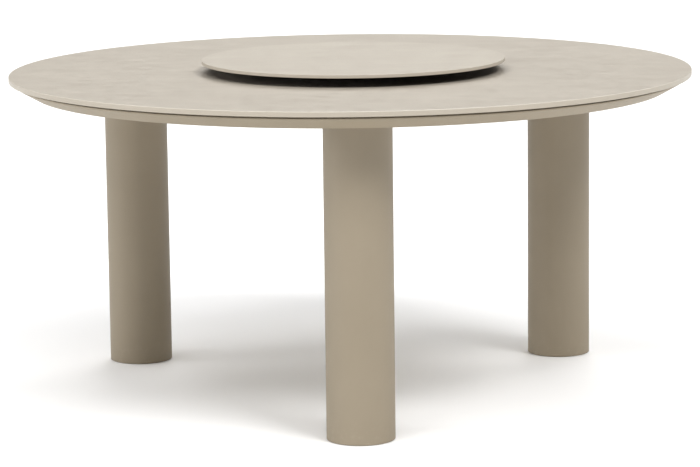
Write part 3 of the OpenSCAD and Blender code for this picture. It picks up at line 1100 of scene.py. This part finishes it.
@dataclass
class TopFixings(Layout):
    """What holds the stone: tabs on the rim, screws, rubber washers, inserts and silicone pads."""

    tab_half_width: float = 15.0
    tab_hole: float = 3.5
    tab_edge: float = 0.4
    tip_points: int = 41
    foot_points: int = 13
    washer_radius: float = 10.0
    washer_edge: float = 0.6
    head_radius: float = 6.0
    head_height: float = 4.0
    head_round: float = 0.8
    thread_radius: float = 2.95
    thread_length: float = 13.0
    point: float = 0.65
    socket_flats: float = 5.2
    socket_depth: float = 2.0
    socket_mouth: float = 0.15
    pad_radius: float = 9.3
    pad_bulge: float = 0.7
    rim_pads: int = 12
    rim_pad_start: float = -75.0
    rim_pad_reach: float = 758.5
    arm_pad_reaches: tuple[float, float] = (250.0, 450.0)

    def screw(self) -> Surface:
        """Socket screw that points up.

        Every row has the same number of points: the socket's rows follow a hexagon, the others
        circles, and four rows round the head's rim off by the sine and cosine of their slope.

        Returns:
            The closed surface, with the head's upper face at height 0.
        """
        socket = hexagon(self.socket_flats)
        mouth = hexagon(self.socket_flats + 2.0 * self.socket_mouth)
        slope = np.radians([0.0, 30.0, 60.0, 90.0])
        radii = self.head_radius - self.head_round * (1.0 - np.sin(slope))
        heights = -self.head_height + self.head_round * (1.0 - np.cos(slope))
        return stacked(
            (circle(0.0), self.socket_depth - self.head_height),
            (socket, self.socket_depth - self.head_height),
            (socket, self.socket_mouth - self.head_height),
            (mouth, -self.head_height),
            *((circle(radius), height) for radius, height in zip(radii, heights)),
            (circle(self.head_radius), 0.0),
            (circle(self.thread_radius), 0.0),
            (circle(self.thread_radius), self.thread_length - self.point),
            (circle(self.thread_radius - self.point), self.thread_length),
            (circle(0.0), self.thread_length),
        )

    def tab(self) -> Surface:
        """Fixing tab: a rounded nose with a hole, and straight sides out to the rim's wall.

        Returns:
            The closed surface.
        """
        half = self.tab_half_width
        nose = np.radians(np.linspace(90.0, 270.0, self.tip_points))
        tip = np.column_stack([self.fixing_reach + half * np.cos(nose), half * np.sin(nose)])
        across = np.linspace(-half, half, self.foot_points)[:, None]
        outline = np.concatenate([tip, on_wall(across, self.rim_inner - self.gap)])
        hole = circle(self.tab_hole, Steps.DOT, (self.fixing_reach, 0.0))
        return plate(outline, self.tab_low, self.rim_high, self.tab_edge, [hole])

    def build(self) -> None:
        """Builds the tabs, screws, washers and pads, and dresses the inserts."""
        hand_over(self.tab().copies(between_arms()), "steel_tabs", "table", COAT, "fixing_tabs")
        screws = self.screw().copies(between_arms(self.fixing_reach, self.tab_low))
        hand_over(screws, "socket_screws", "table", ZINC, "fixing_screws")
        heights = (self.rim_high, self.stone_low)
        washer = flat_washer(self.tab_hole, self.washer_radius, *heights, self.washer_edge)
        soft = washer.copies(between_arms(self.fixing_reach))
        hand_over(soft, "rubber_washers", "table", RUBBER, "screw_washers")
        angles = [self.rim_pad_start + i * 360.0 / self.rim_pads for i in range(self.rim_pads)]
        spots = [placing(angle, self.rim_pad_reach) for angle in angles]
        spots += [placing(arm.value, reach) for arm in Arm for reach in self.arm_pad_reaches]
        pad = soft_dot(self.pad_radius, self.pad_bulge, *heights)
        hand_over(pad.copies(spots), "silicone_pads", "table", SILICONE, "slab_pads")
        dress_node("slab_inserts", BRASS)


@dataclass
class Foot(Layout):
    """Levelling foot: a threaded stud in a moulded pad with a grip round its edge."""

    side: Side = Side.FRONT
    pad_radius: float = 30.0
    pad_height: float = 7.0
    pad_edge: float = 1.2
    socket_edge: float = 0.3
    socket_foot: float = 0.1
    flutes: int = 24
    flute_depth: float = 0.5
    flute_width: float = 2.0
    stud_low: float = 3.0
    stud_high: float = 45.0
    stud_rows: int = 241
    pitch: float = 1.75
    thread_depth: float = 0.95
    # How much steeper than the wave the thread's flanks are, which leaves its crest flat
    flank: float = 1.25
    lead_in: float = 1.5
    play: float = 0.05

    def stud(self) -> Surface:
        """Threaded stud.

        The radius falls from the crest by the thread's depth times a wave of z / pitch - a / 2 pi,
        which climbs one pitch in a turn, and by the whole depth at the upper end.

        Returns:
            The closed surface.
        """
        z = np.linspace(self.stud_low, self.stud_high, self.stud_rows)[:, None]
        wave = np.abs(((z / self.pitch - turn(Steps.STUD) / FULL_TURN) % 1.0) * 2.0 - 1.0)
        groove = 1.0 - np.clip(self.flank * wave, 0.0, 1.0)
        taper = 1.0 - np.clip((self.stud_high - z) / self.lead_in, 0.0, 1.0)
        radius = self.foot_bore - self.play - self.thread_depth * np.maximum(groove, taper)
        end = np.zeros((1, Steps.STUD))
        return around(np.concatenate([end, radius, end]), np.concatenate([z[:1], z, z[-1:]]))

    def pad(self) -> Surface:
        """Moulded pad.

        A turned section, whose edge has hollows of flute_depth * (0.5 + 0.5 cos(n a))^2, with n
        the number of flutes. The hollows fade out over the flute's width, towards the axis.

        Returns:
            The closed surface.
        """
        corners = {
            (0.0, 0.0): 0.0,
            (self.pad_radius, 0.0): self.pad_edge,
            (self.pad_radius, self.pad_height): self.pad_edge,
            (self.foot_bore, self.pad_height): self.socket_edge,
            (self.foot_bore, self.stud_low): self.socket_foot,
            (0.0, self.stud_low): 0.0,
        }
        section = filleted(list(corners), list(corners.values()))
        near_edge = np.clip((section[:, :1] - self.pad_radius) / self.flute_width + 1.0, 0.0, 1.0)
        hollow = (0.5 + 0.5 * np.cos(self.flutes * turn(Steps.PAD))) ** 2
        return around(section[:, :1] - self.flute_depth * near_edge * hollow, section[:, 1:])

    def build(self) -> None:
        """Builds the stud and the pad under their leg."""
        label = self.side.name.lower()
        spot = [placing(self.side.value, self.leg_reach)]
        stud, pad = self.stud().copies(spot), self.pad().copies(spot)
        hand_over(stud, f"threaded_stud_{label}", f"foot_{label}", ZINC, f"foot_stud_{label}")
        hand_over(pad, f"moulded_pad_{label}", f"foot_{label}", NYLON, f"foot_pad_{label}")


@dataclass
class Turntable(Layout):
    """Stone disc on a ball race, free-standing on rubber feet."""

    centre: tuple[float, float] = (7.0, -38.0)
    disc_radius: float = 354.5
    disc_low: float = 772.0
    disc_high: float = 780.0
    arris: float = 1.0
    # Share of the disc's radius where each face has a ring
    ring_share: float = 0.7
    ball_circle: float = 166.0
    ball_height: float = 762.25
    groove: float = 3.15
    groove_points: int = 11
    race_gap: float = 1.5
    race_height: float = 13.0
    race_edge: float = 0.6
    turning_radius: float = 185.5
    turning_low: float = 756.5
    fixed_radius: float = 148.5
    fixed_low: float = 755.0
    feet: int = 8
    foot_reach: float = 156.5
    foot_radius: float = 7.0
    foot_taper: float = 0.6
    sole_edge: float = 0.7
    brim_edge: float = 0.2
    dot_reach: float = 176.5
    dot_radius: float = 6.5
    dot_bulge: float = 0.5

    def disc(self) -> Surface:
        """Returns the disc, turned from axis to axis."""
        edge = slab_edge(self.disc_radius, self.disc_low, self.disc_high, (self.arris, self.arris))
        part_way = self.disc_radius * self.ring_share
        below = [[0.0, self.disc_low], [part_way, self.disc_low]]
        above = [[part_way, self.disc_high], [0.0, self.disc_high]]
        return turned(np.concatenate([below, edge, above]), Steps.TOP, self.centre)

    def race(self, near: float, far: float, low: float) -> Surface:
        """Race ring with softened edges, and the groove in the wall that faces the balls.

        The groove is the part of a circle round the balls' centre that lies beyond the near wall.

        Args:
            near: Radius of the wall that faces the balls.
            far: Radius of the other wall.
            low: Height of the ring's lower face.

        Returns:
            The closed surface.
        """
        high = low + self.race_height
        opening = math.sqrt(self.groove**2 - (near - self.ball_circle) ** 2)
        mouth = [(near, self.ball_height - opening), (near, self.ball_height + opening)]
        corners = [mouth[0], (near, low), (far, low), (far, high), (near, high), mouth[1]]
        path = filleted(corners, [0.0, *[self.race_edge] * 4, 0.0])
        reach = math.atan2(opening, abs(near - self.ball_circle))
        swing = np.linspace(reach, -reach, self.groove_points)
        side = 1.0 if near > self.ball_circle else -1.0
        out = self.ball_circle + side * self.groove * np.cos(swing)
        groove = np.column_stack([out, self.ball_height + self.groove * np.sin(swing)])
        return turned(np.concatenate([path, groove[1:]]), Steps.RACE, self.centre)

    def foot(self) -> Surface:
        """Returns a rubber foot, which widens upwards and has small round edges."""
        sole = (self.foot_radius - self.foot_taper, self.stone_high)
        corners = [(0.0, self.stone_high), sole, (self.foot_radius, self.fixed_low), (0.0, self.fixed_low)]
        return turned(filleted(corners, [0.0, self.sole_edge, self.brim_edge, 0.0]), Steps.DOT)

    def round_centre(self, surface: Surface, reach: float) -> Surface:
        """Returns copies of a surface in a circle round the turntable's centre, one for each foot."""
        angles = [i * 360.0 / self.feet for i in range(self.feet)]
        return surface.copies([placing(angle, reach, 0.0, self.centre) for angle in angles])

    def build(self) -> None:
        """Builds the disc, the races, the feet and the bond, and dresses the balls and their cage."""
        hand_over(self.disc(), "turntable_stone", "turntable_top", DISC_STONE, "turntable_disc")
        outer = self.race(self.ball_circle + self.race_gap, self.turning_radius, self.turning_low)
        hand_over(outer, "outer_race_ring", "turntable_top", ALUMINIUM, "turning_race")
        inner = self.race(self.ball_circle - self.race_gap, self.fixed_radius, self.fixed_low)
        hand_over(inner, "inner_race_ring", "turntable_base", ALUMINIUM, "fixed_race")
        feet = self.round_centre(self.foot(), self.foot_reach)
        hand_over(feet, "soft_feet", "turntable_base", RUBBER, "rubber_feet")
        dot = soft_dot(self.dot_radius, self.dot_bulge, self.turning_low + self.race_height, self.disc_low)
        dots = self.round_centre(dot, self.dot_reach)
        hand_over(dots, "bond_dots", "turntable_top", SILICONE, "bond_pads")
        dress_node("race_balls", BEARING)
        dress_node("ball_cage", NYLON)


# ---------------------------------------------------------------- studio


@dataclass(frozen=True)
class SoftLight:
    """Wide light far away: its direction in degrees, how much sky it fills and its strength."""

    name: str
    azimuth: float
    elevation: float
    strength: float
    spread: float = 22.0

    def hang(self) -> None:
        """Makes the light, turned towards the table."""
        lamp = bpy.data.lights.new(self.name, "SUN")
        lamp.energy = self.strength
        lamp.angle = math.radians(self.spread)
        holder = bpy.data.objects.new(self.name, lamp)
        holder.rotation_euler = (0.0, math.radians(90.0 - self.elevation), math.radians(self.azimuth))
        bpy.context.scene.collection.objects.link(holder)


@dataclass
class Studio:
    """Plain pale floor, soft lights and the camera. Its sizes are metres, and the camera's radians."""

    surroundings: float = 0.12
    floor_colour: str = "#fafafa"
    floor_half: float = 40.0
    lights: tuple[SoftLight, ...] = (
        SoftLight("front_right", -50.0, 50.0, 1.64),
        SoftLight("front", -90.0, 50.0, 0.6),
        SoftLight("front_high", -110.0, 66.0, 0.24),
        SoftLight("front_left", -130.0, 50.0, 0.65),
        SoftLight("left", -170.0, 50.0, 0.2),
        SoftLight("left_low", -170.0, 14.0, 0.77),
        SoftLight("right", -10.0, 50.0, 0.26),
        SoftLight("rear", 80.0, 50.0, 0.91),
        SoftLight("rear_left_high", 160.0, 66.0, 0.45),
        SoftLight("rear_right", 50.0, 32.0, 0.37),
        SoftLight("rear_left", 130.0, 32.0, 0.13),
        SoftLight("rear_low", 90.0, 32.0, 0.15),
    )
    camera_place: tuple[float, float, float] = (-0.1777, -7.1439, 1.5599)
    yaw: float = 0.02423
    pitch: float = 0.16687
    roll: float = -0.01197
    lens: float = 156.89
    sensor_width: float = 36.0
    sight: float = 200.0

    def floor(self) -> None:
        """Lays the floor."""
        half = self.floor_half
        mesh = bpy.data.meshes.new("floor")
        corners = [(-half, -half, 0.0), (half, -half, 0.0), (half, half, 0.0), (-half, half, 0.0)]
        mesh.from_pydata(corners, [], [(0, 1, 2, 3)])
        ground = bpy.data.objects.new("floor", mesh)
        bpy.context.scene.collection.objects.link(ground)
        paper = bpy.data.materials.new("backdrop_paper")
        nodes = Nodes(paper)
        matt = {"Base Color": linear(self.floor_colour), "Roughness": 1.0, "Specular IOR Level": 0.0}
        nodes.feed(nodes.shader, matt)
        mesh.materials.append(paper)

    def camera(self) -> None:
        """Stands the camera at the front, a little above the table, with a long lens."""
        view = bpy.data.cameras.new("camera")
        view.lens = self.lens
        view.sensor_width = self.sensor_width
        view.clip_end = self.sight
        stand = bpy.data.objects.new("camera", view)
        stand.matrix_world = Matrix.Translation(self.camera_place)
        for angle, axis in ((-self.yaw, "Z"), (math.pi / 2.0 - self.pitch, "X"), (self.roll, "Z")):
            stand.matrix_world @= Matrix.Rotation(angle, 4, axis)
        bpy.context.scene.collection.objects.link(stand)
        bpy.context.scene.camera = stand

    def build(self) -> None:
        """Sets up the world, the floor, the lights and the camera."""
        world = bpy.data.worlds.new("white_surroundings")
        world.use_nodes = True
        sky = world.node_tree.nodes["Background"]
        sky.inputs["Color"].default_value = (1.0, 1.0, 1.0, 1.0)
        sky.inputs["Strength"].default_value = self.surroundings
        bpy.context.scene.world = world
        bpy.context.scene.view_settings.view_transform = "Standard"
        self.floor()
        for light in self.lights:
            light.hang()
        self.camera()


def main() -> None:
    """Builds the table, the turntable and the studio."""
    logging.basicConfig(level=logging.INFO, format="%(name)s: %(message)s")
    StoneTop().build()
    Rim().build()
    InnerFrame().build()
    for side in Side:
        Leg(side=side).build()
        Foot(side=side).build()
    LegBolts().build()
    TopFixings().build()
    Turntable().build()
    Studio().build()


if __name__ == "__main__":
    main()
